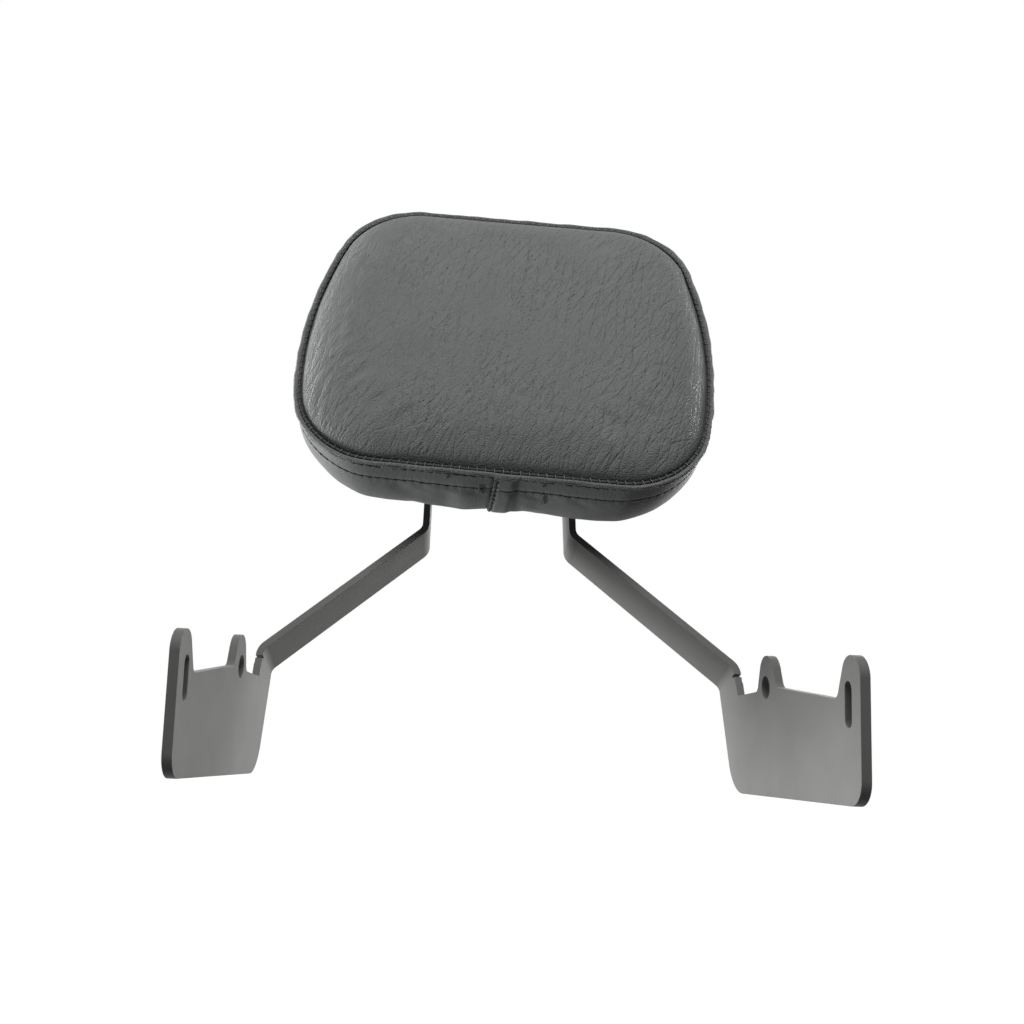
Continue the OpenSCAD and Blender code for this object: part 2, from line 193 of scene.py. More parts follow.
# Name, place, target, size in metres and power in watts of each lamp
LAMPS = (
    ("top", (0, -0.95, 1.2), (0, 0.08, 0.15), 0.9, 27),
    ("left", (-1.3, 0.5, 0.6), (0, 0.05, 0.05), 0.7, 31),
    ("right", (1.3, 0.8, 0.5), (0, 0.05, 0.05), 0.7, 50),
    ("low_left", (-1.2, 0.1, -0.2), (0, 0, 0), 0.3, 26),
    ("low_right", (1.2, 0.4, -0.2), (0, 0, 0), 0.3, 0.5),
    ("back", (0.2, 1.2, 0.9), (0, 0.1, 0.15), 0.8, 6),
)

# Seeded, so that each run sews the same stitches
rng = random.Random(7)


def new_material(name):
    """A node material, its tree and its shader."""
    material = bpy.data.materials.new(name)
    material.use_nodes = True
    shader = material.node_tree.nodes["Principled BSDF"]
    return material, material.node_tree, shader


def add_node(tree, kind, **values):
    """A node with its sockets and settings filled in by name."""
    node = tree.nodes.new(kind)
    for key, value in values.items():
        if key in node.inputs:
            node.inputs[key].default_value = value
        else:
            setattr(node, key, value)
    return node


def object_coords(tree):
    """Places in the piece's own frame."""
    return tree.nodes.new("ShaderNodeTexCoord").outputs["Object"]


def bump(tree, height, strength, distance):
    """Fine relief of one strength all over."""
    node = add_node(tree, "ShaderNodeBump", Strength=strength, Distance=distance)
    tree.links.new(height, node.inputs["Height"])
    return node.outputs["Normal"]


def varied_bump(tree, height, strength, distance):
    """Relief whose strength is itself a pattern."""
    node = add_node(tree, "ShaderNodeBump", Distance=distance)
    tree.links.new(strength, node.inputs["Strength"])
    tree.links.new(height, node.inputs["Height"])
    return node


def noise_node(tree, coords, scale, detail=3.0, roughness=0.5):
    """Soft noise from 0 to 1."""
    node = add_node(tree, "ShaderNodeTexNoise", Scale=scale, Detail=detail, Roughness=roughness)
    tree.links.new(coords, node.inputs["Vector"])
    return node.outputs["Fac"]


def ramp(tree, value, low, high):
    """Maps a noise value to the colours from low to high."""
    node = tree.nodes.new("ShaderNodeValToRGB")
    node.color_ramp.elements[0].color = (*low, 1)
    node.color_ramp.elements[1].color = (*high, 1)
    node.color_ramp.elements[0].position = 0.3
    node.color_ramp.elements[1].position = 0.7
    tree.links.new(value, node.inputs["Fac"])
    return node.outputs["Color"]


def warped(tree, coords, scale, reach):
    """Coordinates shifted by soft noise, by up to the reach."""
    drift = add_node(tree, "ShaderNodeTexNoise", Scale=scale, Detail=2.0)
    tree.links.new(coords, drift.inputs["Vector"])
    moved = add_node(tree, "ShaderNodeVectorMath", operation="MULTIPLY_ADD")
    moved.inputs[1].default_value = (reach, reach, reach)
    tree.links.new(drift.outputs["Color"], moved.inputs[0])
    tree.links.new(coords, moved.inputs[2])
    return moved.outputs["Vector"]


def map_range(tree, value, low, high, to_low, to_high):
    """Carries a value smoothly from one range to another."""
    limits = {"From Min": low, "From Max": high, "To Min": to_low, "To Max": to_high}
    node = add_node(tree, "ShaderNodeMapRange", interpolation_type="SMOOTHSTEP", **limits)
    tree.links.new(value, node.inputs["Value"])
    return node.outputs["Result"]


def multiply(tree, a, b):
    """Product of two values."""
    node = add_node(tree, "ShaderNodeMath", operation="MULTIPLY")
    tree.links.new(a, node.inputs[0])
    tree.links.new(b, node.inputs[1])
    return node.outputs[0]


def crease_lines(tree, coords, angle, long, wide, line):
    """0 in narrow lines that run at an angle, 1 between them."""
    place = add_node(tree, "ShaderNodeMapping", vector_type="TEXTURE")
    place.inputs["Rotation"].default_value = (0, -math.radians(angle), 0)
    through = 0.05
    place.inputs["Scale"].default_value = (long * MM, through, wide * MM)
    tree.links.new(coords, place.inputs["Vector"])
    cells = add_node(tree, "ShaderNodeTexVoronoi", feature="DISTANCE_TO_EDGE", Scale=1.0)
    tree.links.new(place.outputs["Vector"], cells.inputs["Vector"])
    return map_range(tree, cells.outputs["Distance"], 0.0, line, 0.0, 1.0)


def steel_material():
    """Black powder coat: satin, with a fine even texture."""
    material, tree, shader = new_material("powder_coat")
    coords = object_coords(tree)
    cloud = noise_node(tree, coords, 45, 4, 0.6)
    shade = ramp(tree, cloud, (0.098, 0.098, 0.095), (0.112, 0.112, 0.109))
    tree.links.new(shade, shader.inputs["Base Color"])
    shader.inputs["Roughness"].default_value = 0.5
    shader.inputs["Specular IOR Level"].default_value = 0.08
    grain = noise_node(tree, coords, 2600, 2, 0.5)
    normal = bump(tree, grain, 0.35, 0.00012)
    tree.links.new(normal, shader.inputs["Normal"])
    return material


def leather_material():
    """Black synthetic leather with a pebble grain and fine creases."""
    material, tree, shader = new_material("cover")
    coords = object_coords(tree)
    cloud = noise_node(tree, coords, 30, 5, 0.6)
    shade = ramp(tree, cloud, (0.085, 0.091, 0.087), (0.098, 0.104, 0.1))
    tree.links.new(shade, shader.inputs["Base Color"])
    shader.inputs["Roughness"].default_value = 0.56
    shader.inputs["Specular IOR Level"].default_value = 0.2
    split = tree.nodes.new("ShaderNodeSeparateXYZ")
    tree.links.new(coords, split.inputs["Vector"])
    # Creases stay on the front panel, and the pebble grain is faint on the band
    front = map_range(tree, split.outputs["Y"], -0.047, -0.042, 1.0, 0.0)
    cells = add_node(
        tree, "ShaderNodeTexVoronoi", feature="SMOOTH_F1", Scale=1150.0, Smoothness=0.5
    )
    tree.links.new(warped(tree, coords, 500.0, 0.001), cells.inputs["Vector"])
    strength = map_range(tree, split.outputs["Y"], -0.041, -0.037, 0.8, 0.25)
    pebble = varied_bump(tree, cells.outputs["Distance"], strength, -0.0005)
    normal = pebble.outputs["Normal"]
    for angle, long, wide, line, patch, depth in CREASES:
        spread = map_range(tree, noise_node(tree, coords, patch), 0.36, 0.62, 0.45, 0.9)
        lines = crease_lines(tree, warped(tree, coords, 40.0, 0.004), angle, long, wide, line)
        crease = varied_bump(tree, lines, multiply(tree, spread, front), depth)
        tree.links.new(normal, crease.inputs["Normal"])
        normal = crease.outputs["Normal"]
    tree.links.new(normal, shader.inputs["Normal"])
    return material


def zinc_material():
    """Zinc plating with the cloudy shine of small fasteners."""
    material, tree, shader = new_material("zinc_steel")
    coords = object_coords(tree)
    shade = ramp(tree, noise_node(tree, coords, 260, 4, 0.6), (0.56, 0.57, 0.59), (0.66, 0.67, 0.69))
    tree.links.new(shade, shader.inputs["Base Color"])
    shine = map_range(tree, noise_node(tree, coords, 420, 3), 0.3, 0.7, 0.26, 0.42)
    tree.links.new(shine, shader.inputs["Roughness"])
    shader.inputs["Metallic"].default_value = 1.0
    return material


def foam_material():
    """Open-cell foam, cream with small darker cells."""
    material, tree, shader = new_material("foam")
    coords = object_coords(tree)
    cells = noise_node(tree, coords, 900, 3, 0.6)
    shade = ramp(tree, cells, (0.55, 0.47, 0.28), (0.74, 0.66, 0.44))
    tree.links.new(shade, shader.inputs["Base Color"])
    shader.inputs["Roughness"].default_value = 0.9
    tree.links.new(bump(tree, cells, 0.5, 0.0006), shader.inputs["Normal"])
    return material


def thread_material(name, color):
    """Twisted sewing thread."""
    material, tree, shader = new_material(name)
    shader.inputs["Base Color"].default_value = (*color, 1)
    shader.inputs["Roughness"].default_value = 0.7
    twist = add_node(tree, "ShaderNodeTexWave", Scale=900.0, Distortion=1.0)
    tree.links.new(object_coords(tree), twist.inputs["Vector"])
    normal = bump(tree, twist.outputs["Fac"], 0.3, 0.0002)
    tree.links.new(normal, shader.inputs["Normal"])
    return material


def base_material():
    """Moulded plastic with a light spark texture."""
    material, tree, shader = new_material("base_plastic")
    shader.inputs["Base Color"].default_value = (0.03, 0.03, 0.03, 1)
    shader.inputs["Roughness"].default_value = 0.6
    grain = noise_node(tree, object_coords(tree), 1800, 2)
    normal = bump(tree, grain, 0.3, 0.0002)
    tree.links.new(normal, shader.inputs["Normal"])
    return material


MATERIALS = {
    "powder_coat": steel_material(),
    "cover": leather_material(),
    "foam": foam_material(),
    "base_plastic": base_material(),
    "zinc_steel": zinc_material(),
}
BLACK_THREAD = thread_material("black_thread", (0.008, 0.008, 0.008))
# Pale grey ticks across the groove, lighter than the cover, with the same twisted relief as the
# threads
PALE_TICKS = thread_material("pale_ticks", (0.16, 0.16, 0.155))


def dress_cad():
    """Gives each CAD node the material of its slot."""
    for entry in frame["record"]["subparts"]:
        mesh = nodes[entry["node"]].data
        mesh.materials.clear()
        mesh.materials.append(MATERIALS[entry["material_slot"]])


def pad_matrix():
    """Pad frame in the row frame, found from the steel plate behind the pad."""
    low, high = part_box("pad_plate")
    forward = Vector((0, -math.cos(LEAN), math.sin(LEAN)))
    back = (low + high) / 2 + forward * STEEL / 2
    return Matrix.Translation(back) @ Matrix.Rotation(-LEAN, 4, "X")


def cover_turn():
    """Where the sewn cover sits in the pad frame."""
    return Matrix.Translation(COVER_SHIFT) @ Matrix.Rotation(COVER_TURN, 4, "Y")


def arc(centre, start, end, count):
    """Points of a corner of the outline."""
    a = np.linspace(start, end, count)
    return np.column_stack([centre[0] + CORNER_R * np.cos(a), centre[1] + CORNER_R * np.sin(a)])


def half_outline():
    """Right half of the pad outline, from the middle of the bottom to the top."""
    upper = np.array([HALF_W - SHOULDER - CORNER_R, HALF_H - CORNER_R])
    lower = np.array([HALF_W - SHOULDER / 3 - CORNER_R, CORNER_R - HALF_H])
    low_arc = arc(lower, -math.pi / 2, -SIDE_TURN, 60)
    top_arc = arc(upper, SIDE_TURN, math.pi / 2, 60)
    u = np.linspace(0, 1, 80)[1:-1, None]
    side = low_arc[-1] + (top_arc[0] - low_arc[-1]) * u
    bow = HALF_W - (low_arc[-1][0] + top_arc[0][0]) / 2
    side[:, 0] += (4 * bow * u * (1 - u))[:, 0]
    return np.vstack([[0, -HALF_H], low_arc, side, top_arc, [0, HALF_H]])


def even_outline(count):
    """The closed outline as evenly spaced points, anticlockwise from the bottom."""
    right = half_outline()
    left = right[-2:0:-1] * (-1, 1)
    closed = np.vstack([right, left, right[:1]])
    run = np.concatenate([[0], np.cumsum(np.linalg.norm(np.diff(closed, axis=0), axis=1))])
    at = np.arange(count) * run[-1] / count
    return np.column_stack([np.interp(at, run, closed[:, k]) for k in (0, 1)])


OUTLINE = even_outline(AROUND)


def ring(inset, depth, outline=OUTLINE):
    """Outline drawn in by an inset, at a depth forward of the pad's back."""
    x, z = outline[:, 0], outline[:, 1]
    share = min(1.0, max(0.0, depth / BAND_DEPTH))
    product = np.abs(x) / HALF_W * np.abs(z) / HALF_H
    corner = np.clip((product - CORNER_FROM) / CORNER_OVER, 0, 1) ** 2
    left_in = np.where(x < 0, np.where(z > 0, UPPER_LEFT_IN, LOWER_LEFT_IN), 0)
    pull = corner * (CORNER_TUCK * (1 - share) + left_in)
    keep = 1 - pull / np.hypot(x, z)
    below = np.clip(-z / HALF_H, 0, 1) ** 3
    flat_x = x * keep * (HALF_W - inset) / HALF_W
    flat_z = z * keep * (HALF_H - inset) / HALF_H - BELLY * math.sin(math.pi * share) * below
    return np.column_stack([flat_x, np.full(len(x), -depth), flat_z])


def crown_depth(run):
    """Depth of the front panel at a distance in from the outline."""
    edge = max(0.0, 1 - run / EDGE_RUN)
    middle = 1 - run / CROWN_RUN
    return (
        BAND_DEPTH
        + CROWN * EDGE_SHARE * math.sqrt(1 - edge * edge)
        + CROWN * (1 - EDGE_SHARE) * (1 - middle * middle)
    )


def smooth(value, low, high):
    """0 below a range and 1 above it, with a smooth step between."""
    t = min(1.0, max(0.0, (value - low) / (high - low)))
    return t * t * (3 - 2 * t)


def bell(value, width):
    """1 at zero, falling off smoothly over a width on both sides."""
    return math.exp(-((value / width) ** 2))


def crease_depth(x, z):
    """Creases of the front panel: long, mostly running up to the right."""
    total = 0.0
    for angle, long, wide, deep, seed in BROAD_CREASES:
        a = math.radians(angle + 14 * noise.noise((x / 60, z / 60, seed)))
        bend = 5 * noise.noise((x / 16, z / 16, seed + 3))
        along = x * math.cos(a) + z * math.sin(a)
        across = z * math.cos(a) - x * math.sin(a) + bend
        near = noise.voronoi((along / long, across / wide, seed))[0]
        edge = near[1] - near[0]
        patch = 0.4 + 1.1 * noise.noise((x / 30, z / 30, seed + 8))
        total += deep * max(0.0, min(1.0, patch)) * bell(edge, 0.1)
    return total


def band_inset(depth):
    """How far the plain band lies in from the outline at a depth."""
    share = depth / BAND_DEPTH
    fullness = 1.9 * (1 - (2 * share - 0.86) ** 2)
    roll = 9.5 * (1 - smooth(depth, 0.0, 13.0)) ** 1.7
    allowance = 0.55 * smooth(depth, TOPSTITCH_DEPTH - 1.5, TOPSTITCH_DEPTH)
    groove = 0.7 * bell(depth - TOPSTITCH_DEPTH, 1.0)
    return 1.7 - fullness + roll - allowance + groove


def joint_x(depth):
    """X of the band's joint at a depth."""
    return JOINT_X + JOINT_LEAN * (1 - depth / BAND_DEPTH)


def lap_push(side, depth):
    """Folds beside the band's joint, deeper towards the back, and its lap."""
    rear = 1 - depth / BAND_DEPTH
    lap = smooth(side, -0.6, 0.6) * (1 - smooth(side, LAP - 3, LAP + 1))
    fold = 1.5 * smooth(side, -1.0, 2.0) * (1 - smooth(side, 8.0, 14.0))
    left_fold = 1.1 * bell(side + 13, 8.5)
    seam = 1.1 * bell(side, 1.0)
    return 0.6 * lap + (0.2 + 0.9 * rear) * (fold + left_fold) - seam


def band_push(x, z, depth, phase):
    """How far the cover stands out from the plain band at a place on it."""
    free = math.sin(math.pi * min(1.0, max(0.0, depth / BAND_DEPTH))) ** 0.7
    rear = 1 - smooth(depth, 0.0, 16.0)
    wave = noise.noise((x / 30, z / 30, 5.0))
    wave += 0.4 * noise.noise((x / 12, z / 12, depth / 30))
    below = max(0.0, -z / HALF_H) ** 3
    push = (0.35 * free + 0.5 * free * below + 1.4 * rear * below) * wave
    pucker = 0.5 + 0.5 * math.cos(phase)
    push -= 0.25 * pucker * bell(depth - TOPSTITCH_DEPTH, 2.2)
    if z < 0 and abs(x - JOINT_X) < 45:
        push += lap_push(x - joint_x(depth), depth)
    return push


def shape_front(points):
    """Presses the creases into the front, lets it swell and keeps its edges smooth."""
    for p in points:
        x, z = p[0], p[2]
        reach = max(abs(x) / HALF_W, abs(z) / HALF_H)
        middle = smooth(max(abs(x) - HALF_W + HALF_H, abs(z)), MIDDLE, 3 * MIDDLE)
        fade = middle * (1 - smooth(reach, 0.8, 0.93))
        swell = 0.5 * noise.noise((x / 45, z / 45, 3.0))
        p[1] += fade * (crease_depth(x, z) - swell)
    return points


def shape_band(points, depth):
    """Gives a ring of the band its waves, puckers and folds."""
    for i, p in enumerate(points):
        x, z = OUTLINE[i]
        phase = 2 * math.pi * i / PER_STITCH
        out = band_push(x, z, depth, phase) / math.hypot(x, z)
        p[0] += x * out
        p[2] += z * out
    return points


def on_band(flat, depth, proud=0.0, phase=math.pi):
    """Point of the finished band over a point of the outline."""
    x, z = flat
    point = ring(band_inset(depth) - proud, depth, np.array([flat]))[0]
    out = band_push(x, z, depth, phase) / math.hypot(x, z)
    return point + (x * out, 0, z * out)


def cushion_rings():
    """Inset and depth of each ring from the middle of the front to the hem's end."""
    front = []
    for s in np.linspace(0.0, 1.0, FRONT_RINGS):
        run = (HALF_H - GROOVE_IN - MIDDLE) * s**1.35
        front.append((GROOVE_IN + run, crown_depth(min(run, CROWN_RUN * 0.98))))
    sewn = [(LIP + 0.1, BAND_DEPTH - 0.2)]
    depths = np.linspace(BAND_DEPTH - 0.4, 2.5, BAND_RINGS)
    band = [(band_inset(depth), depth) for depth in depths]
    # The hem rounds the edge of the base, lies flat on it and ends inside the cover
    hem = [(8.6, 0.9), (10.2, -0.3), (12.5, -COVER_T + 0.1), (15.0, -COVER_T)]
    hem += [(inset, -COVER_T) for inset in np.linspace(18, HEM - 1, 6)]
    hem += [(HEM, -COVER_T * 0.6), (HEM, 1.0), (HEM + 1, BASE_T / 2), (HALF_H - 2, BASE_T / 2)]
    return list(reversed(front)) + sewn + band + hem, len(front)


def mesh_from_rings(name, rings, closed_loop=False):
    """Skin through equal rings; the ends are capped unless it is a closed loop."""
    n = len(rings[0])
    points = np.vstack(rings) * MM
    count = len(rings)
    spans = count if closed_loop else count - 1
    faces = []
    for r in range(spans):
        a = r * n
        b = ((r + 1) % count) * n
        faces += [(a + i, b + i, b + (i + 1) % n, a + (i + 1) % n) for i in range(n)]
    if not closed_loop:
        tips = [rings[0].mean(axis=0) * MM, rings[-1].mean(axis=0) * MM]
        points = np.vstack([points, tips])
        first, last = count * n, count * n + 1
        z = (count - 1) * n
        faces += [(first, i, (i + 1) % n) for i in range(n)]
        faces += [(last, z + (i + 1) % n, z + i) for i in range(n)]
    mesh = bpy.data.meshes.new(name)
    mesh.from_pydata(points.tolist(), [], faces)
    mesh.validate()
    mesh.polygons.foreach_set("use_smooth", [True] * len(mesh.polygons))
    mesh.update()
    return mesh


def add_piece(name, mesh, material, place=None):
    """A rigid piece in the cover's place, or in the one given."""
    piece = bpy.data.objects.new(name, mesh)
    bpy.context.scene.collection.objects.link(piece)
    piece.matrix_world = place or pad_matrix() @ cover_turn()
    mesh.materials.clear()
    mesh.materials.append(material)
    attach(piece, "root")
    return piece


def build_steel():
    """The sheet-steel pieces again with their edges eased, as the coating leaves them."""
    for name in ("left_bracket", "right_bracket", "pad_plate"):
        work = bmesh.new()
        work.from_mesh(nodes[name].data)
        bmesh.ops.remove_doubles(work, verts=work.verts, dist=0.001 * MM)
        bmesh.ops.dissolve_limit(
            work, angle_limit=math.radians(0.5), verts=work.verts, edges=work.edges
        )
        sharp = [
            edge for edge in work.edges
            if len(edge.link_faces) == 2 and edge.calc_face_angle() > math.radians(40)
        ]
        bmesh.ops.bevel(
            work, geom=sharp, offset=EASED * MM, offset_type="OFFSET",
            segments=3, profile=0.5, affect="EDGES", clamp_overlap=True,
        )
        mesh = bpy.data.meshes.new(f"{name}_eased")
        work.to_mesh(mesh)
        work.free()
        mesh.polygons.foreach_set("use_smooth", [True] * len(mesh.polygons))
        mesh.set_sharp_from_angle(angle=math.radians(50))
        place = nodes[name].matrix_world.copy()
        piece = add_piece(f"{name}_eased", mesh, MATERIALS["powder_coat"], place)
        piece.modifiers.new("normals", "WEIGHTED_NORMAL").keep_sharp = True
        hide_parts(name)


def coarse_picks(front_count):
    """Rings of the coarse copy: the front, the seam, the band and the hem's start."""
    hem = front_count + 1 + BAND_RINGS
    front = list(range(0, front_count - 3, 6)) + [front_count - 1, front_count]
    return front + list(range(front_count + 1, hem - 1, 3)) + [hem]


def hold_sewing(piece, coarse, depths):
    """Holds the coarse cover at its seam, its double strip, its joint and its hem."""
    held = piece.vertex_groups.new(name="held")
    last = len(coarse) - 1
    for k, points in enumerate(coarse):
        on_side = k > 0 and depths[k] <= BAND_DEPTH + 0.1
        double = on_side and depths[k] > TOPSTITCH_DEPTH - 1.5
        for i, p in enumerate(points):
            joint = on_side and p[2] < 0 and abs(p[0] - joint_x(depths[k])) < 5
            if double or joint or k == last:
                held.add([k * STITCHES + i], 1.0, "REPLACE")
    end_cap = len(coarse) * STITCHES + 1
    held.add([end_cap], 1.0, "REPLACE")


def run_cloth(piece):
    """Places of a piece's points after a short, slightly slack Cloth."""
    cloth = piece.modifiers.new("cloth", "CLOTH")
    cloth.settings.quality = 6
    cloth.settings.use_pressure = True
    cloth.settings.uniform_pressure_force = SETTLE_PRESSURE
    cloth.settings.shrink_min = -SETTLE_SLACK
    cloth.settings.vertex_group_mass = "held"
    cloth.settings.effector_weights.gravity = 0.0
    cloth.point_cache.frame_end = SETTLE_FRAMES
    for number in range(1, SETTLE_FRAMES + 1):
        bpy.context.scene.frame_set(number)
    settled = piece.evaluated_get(bpy.context.evaluated_depsgraph_get()).data
    places = np.empty(len(settled.vertices) * 3)
    settled.vertices.foreach_get("co", places)
    bpy.context.scene.frame_set(1)
    return places.reshape(-1, 3)


def settle(rings, section, front_count):
    """How far each point of the cover moves when it settles over its foam."""
    picks = coarse_picks(front_count)
    coarse = [rings[k][::PER_STITCH] for k in picks]
    mesh = mesh_from_rings("settling", coarse)
    piece = bpy.data.objects.new("settling", mesh)
    bpy.context.scene.collection.objects.link(piece)
    hold_sewing(piece, coarse, [section[k][1] for k in picks])
    places = run_cloth(piece)
    bpy.data.objects.remove(piece)
    moves = places[: len(picks) * STITCHES] / MM - np.vstack(coarse)
    length = np.linalg.norm(moves, axis=1)[:, None]
    moves *= SETTLE_CAP * np.tanh(length / SETTLE_CAP) / np.maximum(length, 0.001)
    return spread_moves(moves.reshape(len(picks), STITCHES, 3), picks, len(rings))


def spread_moves(moves, picks, total):
    """The coarse moves carried smoothly to every point of every ring."""
    waves = np.fft.rfft(moves, axis=1)
    fine = np.fft.irfft(waves, n=AROUND, axis=1) * (AROUND / moves.shape[1])
    spread = np.zeros((total, AROUND, 3))
    last = len(picks) - 1
    for i in range(last):
        before, after = fine[max(0, i - 1)], fine[min(last, i + 2)]
        for k in range(picks[i], picks[i + 1]):
            t = (k - picks[i]) / (picks[i + 1] - picks[i])
            spread[k] = 0.5 * (
                (-t + 2 * t**2 - t**3) * before
                + (2 - 5 * t**2 + 3 * t**3) * fine[i]
                + (t + 4 * t**2 - 3 * t**3) * fine[i + 1]
                + (t**3 - t**2) * after
            )
    return spread


def build_cushion():
    """The sewn cover over its foam, from the middle of the front to the hem."""
    section, front_count = cushion_rings()
    rings = []
    for k, (inset, depth) in enumerate(section):
        points = ring(inset, depth)
        if k < front_count:
            points = shape_front(points)
        elif depth > -0.5 and inset < 12:
            points = shape_band(points, depth)
        rings.append(points)
    moves = settle(rings, section, front_count)
    mesh = mesh_from_rings("cushion", list(np.array(rings) + moves))
    cushion = add_piece("cushion", mesh, MATERIALS["cover"])
    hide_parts("front_panel", "side_band", "foam_core")


def lip_ring(inset, depth, seed):
    """Ring of a ply, uneven towards its free edge and fuller over the lap."""
    points = ring(inset, depth)
    tip = (LIP_ROOT - inset) / 3
    for i, p in enumerate(points):
        x, z = OUTLINE[i]
        p[1] += tip * 0.7 * noise.noise((x / 17, z / 17, seed))
        stretch = 1 + tip * 0.004 * noise.noise((x / 9, z / 9, seed + 2))
        if z < 0 and 0 < x - JOINT_X < LAP:
            stretch += tip * 0.004
        p[0] *= stretch
        p[2] *= stretch
    return points


def build_lip():
    """Two plies of cover that stand out along the front seam."""
    for side, (seed, section) in LIP_PLIES.items():
        rings = [lip_ring(inset, depth, seed) for inset, depth in section]
        mesh = mesh_from_rings(f"seam_lip_{side}", rings, closed_loop=True)
        ply = add_piece(f"seam_lip_{side}", mesh, MATERIALS["cover"])
        if side == "front":
            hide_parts("seam_lip")


def capsule(start, end, radius, sides=6, rings=4):
    """Vertices and faces of a rounded thread between two points."""
    axis = end - start
    length = axis.length
    turn = axis.to_track_quat("Z", "Y")
    points = [start]
    quarter = [math.pi / 2 * k / rings for k in range(1, rings)]
    profile = [(math.sin(a), 1 - math.cos(a)) for a in quarter]
    stations = [(s, h * radius) for s, h in profile] + [(1, length / 2)]
    stations += [(s, length - h * radius) for s, h in reversed(profile)]
    for share, height in stations:
        for k in range(sides):
            a = 2 * math.pi * k / sides
            local = Vector((radius * share * math.cos(a), radius * share * math.sin(a), height))
            points.append(start + turn @ local)
    points.append(end)
    faces = [(0, 1 + (k + 1) % sides, 1 + k) for k in range(sides)]
    for r in range(len(stations) - 1):
        a, b = 1 + r * sides, 1 + (r + 1) * sides
        faces += [(a + k, a + (k + 1) % sides, b + (k + 1) % sides, b + k) for k in range(sides)]
    last, base = len(points) - 1, 1 + (len(stations) - 1) * sides
    faces += [(base + k, base + (k + 1) % sides, last) for k in range(sides)]
    return points, faces


def threads_piece(name, runs, material):
    """One piece from many short threads, each a start, an end and a radius."""
    points, faces = [], []
    for start, end, radius in runs:
        more, skin = capsule(Vector(start), Vector(end), radius)
        base = len(points)
        points += [p * MM for p in more]
        faces += [tuple(base + i for i in face) for face in skin]
    mesh = bpy.data.meshes.new(name)
    mesh.from_pydata([tuple(p) for p in points], [], faces)
    mesh.polygons.foreach_set("use_smooth", [True] * len(mesh.polygons))
    mesh.update()
    add_piece(name, mesh, material)


def at_share(outline, at):
    """Point of the outline at a whole or part number of its points."""
    low = int(at) % len(outline)
    part = at - int(at)
    return outline[low] * (1 - part) + outline[(low + 1) % len(outline)] * part


def row(gap, radius, place):
    """A row of stitches round the pad; place turns an outline point into a point."""
    runs = []
    for k in range(STITCHES):
        start = place(at_share(OUTLINE, PER_STITCH * (k + gap / 2)))
        end = place(at_share(OUTLINE, PER_STITCH * (k + 1 - gap / 2)))
        runs.append((start, end, radius))
    return runs


def ticks(low, high, radius):
    """Short pale ticks across the groove, one between each pair of stitches."""
    runs = []
    for k in range(STITCHES):
        flat = OUTLINE[PER_STITCH * k][None, :]
        runs.append((ring(*low, flat)[0], ring(*high, flat)[0], radius))
    return runs


def sewn_row(depth, proud, drift):
    """Places of a row of stitches along the band that wanders a little."""
    def place(flat):
        return on_band(flat, depth + rng.uniform(-drift, drift), proud)
    return place


def groove_place(flat):
    """Place of a groove stitch's end over a point of the outline."""
    return ring(2.5, 41.9 + rng.uniform(-0.1, 0.1), flat[None, :])[0]


def joint_threads():
    """Small stitches that cross the band's joint, and the loose ends near it."""
    runs = []
    for k, depth in enumerate(np.arange(38.5, 5.0, -JOINT_PITCH)):
        low = depth - 1.3
        lean = 0.7 if k % 2 else -0.7
        start = on_band((joint_x(depth) - lean, -HALF_H), depth, 1.0)
        end = on_band((joint_x(low) + lean, -HALF_H), low, 1.0)
        runs.append((start, end, JOINT_THREAD))
    for x, depth, to_x, to_depth in LOOSE_ENDS:
        start = on_band((x, -HALF_H), depth, 0.4)
        end = on_band((to_x, -HALF_H), to_depth, 0.4)
        runs.append((start, end, LOOSE_THREAD))
    return runs


def build_stitches():
    """Stitching of the groove, the lip, the band's top row and its joint; the groove's thick black
    thread also paints the groove's shade.
    """
    # Thick, almost unbroken black thread in the groove: the stitches, and painted shade of the
    # groove's channel
    threads_piece("groove_stitches_and_shade", row(0.03, GROOVE_SHADE_THREAD, groove_place), BLACK_THREAD)
    across = ticks((1.1, 42.85), (3.3, 43.1), TICK_RADIUS)
    # Pale grey ticks across the groove, lighter than the cover
    threads_piece("groove_ticks", across, PALE_TICKS)
    top = sewn_row(TOPSTITCH_DEPTH, 0.25, 0.3)
    threads_piece("topstitches", row(0.05, TOP_THREAD, top), BLACK_THREAD)
    lip = sewn_row(LIPSTITCH_DEPTH, 0.4, 0.35)
    threads_piece("lip_stitches", row(0.08, LIP_THREAD, lip), BLACK_THREAD)
    threads_piece("joint_stitches", joint_threads(), BLACK_THREAD)


def build_base():
    """The moulded base: its rim turns with the cover, its bores stay put."""
    mesh = nodes["pad_base"].data.copy()
    mesh.transform(pad_matrix().inverted())
    turn = cover_turn()
    for vertex in mesh.vertices:
        if math.hypot(vertex.co.x, vertex.co.z) > RIM_FROM * MM:
            vertex.co = turn @ vertex.co
    plastic = MATERIALS["base_plastic"]
    base = add_piece("base_board", mesh, plastic, pad_matrix())
    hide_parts("pad_base")


def build_staples():
    """Wire staples that hold the turned-under cover to the base."""
    outline = even_outline(STAPLES * 10)
    proud = COVER_T + 0.15
    runs = []
    for k in range(STAPLES):
        middle = 10 * k + 5
        along = outline[middle + 1] - outline[middle - 1]
        along = along / np.linalg.norm(along)
        flat = outline[middle] * ((HALF_H - STAPLE_IN) / HALF_H)
        tilt = rng.uniform(-0.25, 0.25)
        direction = np.array([along[0] - tilt * along[1], along[1] + tilt * along[0]])
        start = flat - STAPLE_HALF * direction
        end = flat + STAPLE_HALF * direction
        runs.append(((start[0], proud, start[1]), (end[0], proud, end[1]), STAPLE_R))
    threads_piece("staples", runs, MATERIALS["zinc_steel"])


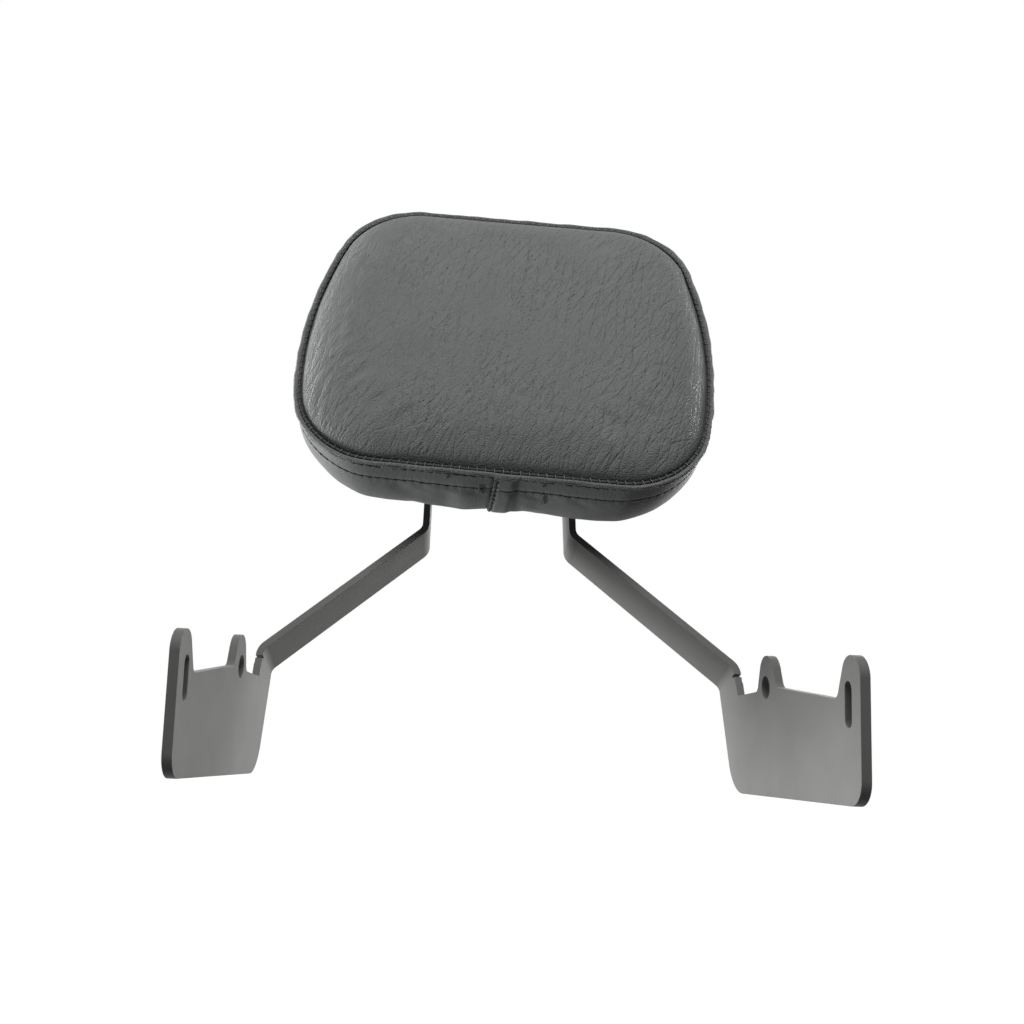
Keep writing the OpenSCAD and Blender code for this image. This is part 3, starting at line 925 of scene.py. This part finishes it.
def build_camera():
    """The photo's camera, fitted to it, with its aim off the picture's middle."""
    data = bpy.data.cameras.new("camera")
    camera = bpy.data.objects.new("camera", data)
    bpy.context.scene.collection.objects.link(camera)
    data.sensor_width = SENSOR_MM
    data.lens = FOCAL_PX / PICTURE_PX * SENSOR_MM
    data.shift_x = 0.5 - AXIS_PX[0] / PICTURE_PX
    data.shift_y = AXIS_PX[1] / PICTURE_PX - 0.5
    data.clip_start = 0.01
    data.clip_end = 50
    backward = CAMERA_RIGHT.cross(CAMERA_UP)
    turn = Matrix((CAMERA_RIGHT, CAMERA_UP, backward)).transposed()
    camera.matrix_world = Matrix.Translation(CAMERA_AT) @ turn.to_4x4()
    bpy.context.scene.camera = camera


def add_lamp(name, at, target, size, power):
    """A soft round lamp at a place, turned to a target."""
    data = bpy.data.lights.new(name, "AREA")
    data.shape = "DISK"
    data.size = size
    data.energy = power
    light = bpy.data.objects.new(name, data)
    bpy.context.scene.collection.objects.link(light)
    light.location = at
    light.rotation_mode = "QUATERNION"
    light.rotation_quaternion = (Vector(target) - Vector(at)).to_track_quat("-Z", "Y")


def shown_rays(tree):
    """1 for the rays that show the background as white, 0 for those that light."""
    path = tree.nodes.new("ShaderNodeLightPath")
    shown = path.outputs["Is Camera Ray"]
    for kind in ("Is Glossy Ray", "Is Transmission Ray"):
        either = add_node(tree, "ShaderNodeMath", operation="MAXIMUM")
        tree.links.new(shown, either.inputs[0])
        tree.links.new(path.outputs[kind], either.inputs[1])
        shown = either.outputs[0]
    return shown


def build_world():
    """White to the camera and in reflections, softer as a light."""
    world = bpy.data.worlds.new("world")
    bpy.context.scene.world = world
    world.use_nodes = True
    tree = world.node_tree
    background = tree.nodes["Background"]
    split = tree.nodes.new("ShaderNodeSeparateXYZ")
    direction = tree.nodes.new("ShaderNodeTexCoord").outputs["Generated"]
    tree.links.new(direction, split.inputs["Vector"])
    limits = {"From Min": -0.5, "From Max": 0.8, "To Min": 0.0, "To Max": SKY_LIGHT}
    sky = add_node(tree, "ShaderNodeMapRange", **limits)
    tree.links.new(split.outputs["Z"], sky.inputs["Value"])
    strength = add_node(tree, "ShaderNodeMix", data_type="FLOAT")
    strength.inputs["B"].default_value = 1.0
    tree.links.new(shown_rays(tree), strength.inputs["Factor"])
    tree.links.new(sky.outputs["Result"], strength.inputs["A"])
    tree.links.new(strength.outputs["Result"], background.inputs["Strength"])
    background.inputs["Color"].default_value = (1, 1, 1, 1)


def build_floor():
    """A pale floor that shows white and keeps the object's shadow."""
    mesh = bpy.data.meshes.new("floor")
    around = ((-1, -1), (1, -1), (1, 1), (-1, 1))
    corners = [(x * FLOOR_REACH, y * FLOOR_REACH, FLOOR_Z) for x, y in around]
    mesh.from_pydata(corners, [], [(0, 1, 2, 3)])
    floor = bpy.data.objects.new("floor", mesh)
    bpy.context.scene.collection.objects.link(floor)
    material, tree, shader = new_material("floor")
    path = tree.nodes.new("ShaderNodeLightPath")
    tint = tree.nodes.new("ShaderNodeMix")
    tint.data_type = "RGBA"
    tint.inputs["A"].default_value = (0.06, 0.06, 0.06, 1)
    tint.inputs["B"].default_value = (0.95, 0.95, 0.95, 1)
    tree.links.new(path.outputs["Is Camera Ray"], tint.inputs["Factor"])
    tree.links.new(tint.outputs["Result"], shader.inputs["Base Color"])
    shader.inputs["Roughness"].default_value = 1.0
    shader.inputs["Specular IOR Level"].default_value = 0.0
    shader.inputs["Emission Color"].default_value = (1, 1, 1, 1)
    glow = add_node(tree, "ShaderNodeMath", operation="MULTIPLY")
    glow.inputs[1].default_value = FLOOR_GLOW
    tree.links.new(shown_rays(tree), glow.inputs[0])
    tree.links.new(glow.outputs[0], shader.inputs["Emission Strength"])
    mesh.materials.append(material)


def write_sizes():
    """Brings the scene's placements up to date."""
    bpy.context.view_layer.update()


bpy.context.scene.view_settings.view_transform = "Standard"
dress_cad()
build_camera()
build_world()
build_floor()
for lamp in LAMPS:
    add_lamp(*lamp)
build_steel()
build_cushion()
build_lip()
build_stitches()
build_base()
build_staples()
write_sizes()
